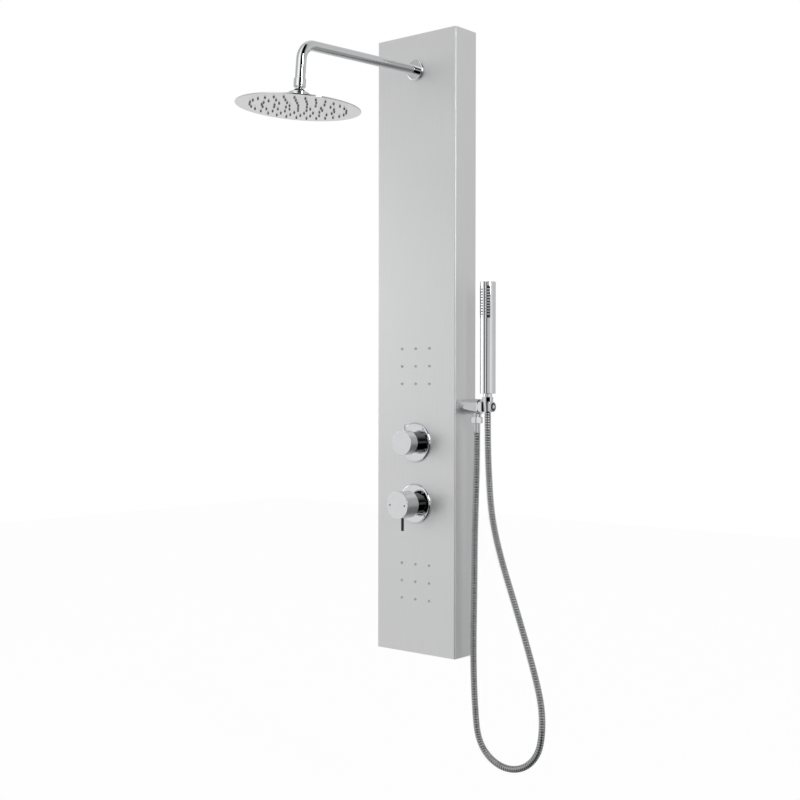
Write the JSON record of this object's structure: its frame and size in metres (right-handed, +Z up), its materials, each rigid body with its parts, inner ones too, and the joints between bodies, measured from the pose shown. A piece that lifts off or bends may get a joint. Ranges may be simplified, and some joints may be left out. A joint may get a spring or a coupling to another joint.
{
  "type": "rainfall shower column",
  "caption": "Slim folded steel wall panel with a bent arm and round rain head, diverter knob, lever mixer, body jets and a hand shower on a metal hose in a tilting holder",
  "frame": {"origin": "In the wall's plane, at the middle of the four wall screw holes, which is the middle of the panel's height and width", "axes": "+X right seen from the room, -Y out of the wall into the room, +Z up"},
  "size_m": [0.4314, 0.5353, 1.5183],
  "materials": {
    "steel": "satin stainless sheet",
    "chrome": "bright chrome plate",
    "dark": "smooth dark plastic",
    "seal": "slippery acetal",
    "rubber": "silicone rubber",
    "pale_rubber": "pale silicone rubber",
    "black_rubber": "black silicone rubber",
    "brass": "raw turned brass",
    "copper": "drawn copper tube",
    "bracket": "zinc plated steel",
    "cartridge": "moulded plastic",
    "marks": "inlaid dark grey",
    "hose": "double lock stainless"
  },
  "bodies": {
    "column": {"panel_shell": "steel", "top_end_tray": "steel", "bottom_end_tray": "steel", "wall_bracket_upper": "bracket", "wall_bracket_lower": "bracket", "hanger_bar_upper": "bracket", "hanger_bar_lower": "bracket", "shower_arm": "chrome", "arm_flange": "chrome", "arm_inlet_elbow": "brass", "swivel_ball_nut": "chrome", "mixer_escutcheon": "chrome", "mixer_sleeve": "chrome", "mixer_body": "brass", "mixer_cartridge": "cartridge", "diverter_escutcheon": "chrome", "diverter_sleeve": "chrome", "diverter_body": "brass", "diverter_cartridge": "cartridge", "jet_nozzle_mat_upper": "pale_rubber", "jet_nozzle_mat_lower": "pale_rubber", "jet_manifold_upper": "cartridge", "jet_manifold_lower": "cartridge", "manifold_studs": "bracket", "manifold_nuts": "bracket", "riser_pipe": "copper", "mixed_water_pipe": "copper", "jet_pipe_upper": "copper", "jet_pipe_lower": "copper", "hand_outlet_pipe": "copper", "hand_outlet_union": "brass", "hot_inlet_leg": "brass", "cold_inlet_leg": "brass", "holder_body": "chrome", "hose_outlet_nut": "chrome", "hose_tail_outlet": "chrome", "hose": "hose"},
    "mixer_carrier_turn": {"mixer_carrier": "cartridge"},
    "mixer_lever": {"mixer_stem": "brass", "mixer_handle": "chrome", "mixer_lever_pin": "chrome", "temperature_marks": "marks", "mixer_handle_screw": "bracket"},
    "diverter_control": {"diverter_spindle": "brass", "diverter_knob": "chrome", "diverter_pin": "chrome", "diverter_knob_screw": "bracket"},
    "head_gimbal": {"ball_ring": "seal"},
    "rain_head": {"ball_retainer": "dark", "head_cover": "chrome", "head_face_plate": "steel", "head_nozzle_mat": "rubber"},
    "holder_cradle": {"holder_clip": "chrome", "holder_end_cap": "dark"},
    "handset": {"handset_body": "chrome", "handset_spray_plate": "chrome", "handset_nozzle_mat": "black_rubber", "handset_side_ribs": "pale_rubber", "hose_cone_nut": "chrome", "hose_tail_handset": "brass"}
  },
  "joints": [
    {"name": "mixer_temperature", "type": "hinge", "parent": "column", "child": "mixer_carrier_turn", "pos_m": [0, -0.084, -0.335], "axis": [0, 1, 0], "range_deg": [-45, 45]},
    {"name": "mixer_flow", "type": "hinge", "parent": "mixer_carrier_turn", "child": "mixer_lever", "pos_m": [0, -0.084, -0.335], "axis": [-1, 0, 0], "range_deg": [0, 15]},
    {"name": "diverter_turn", "type": "hinge", "parent": "column", "child": "diverter_control", "pos_m": [0, -0.094, -0.206], "axis": [0, 1, 0], "range_deg": [-90, 90]},
    {"name": "head_tilt_side", "type": "hinge", "parent": "column", "child": "head_gimbal", "pos_m": [-0.00512, -0.41422, 0.46912], "axis": [0, 1, 0], "range_deg": [-10, 10]},
    {"name": "head_tilt_front", "type": "hinge", "parent": "head_gimbal", "child": "rain_head", "pos_m": [-0.00512, -0.41422, 0.46912], "axis": [1, 0, 0], "range_deg": [-10, 10]},
    {"name": "holder_tilt", "type": "hinge", "parent": "column", "child": "holder_cradle", "pos_m": [0.1635, -0.037, -0.13], "axis": [1, 0, 0], "range_deg": [-3, 25], "deforming": ["hose"]},
    {"name": "handset_lift", "type": "slide", "parent": "holder_cradle", "child": "handset", "axis": [0, 0, 1], "range_m": [0, 0.03], "deforming": ["hose"]}
  ]
}
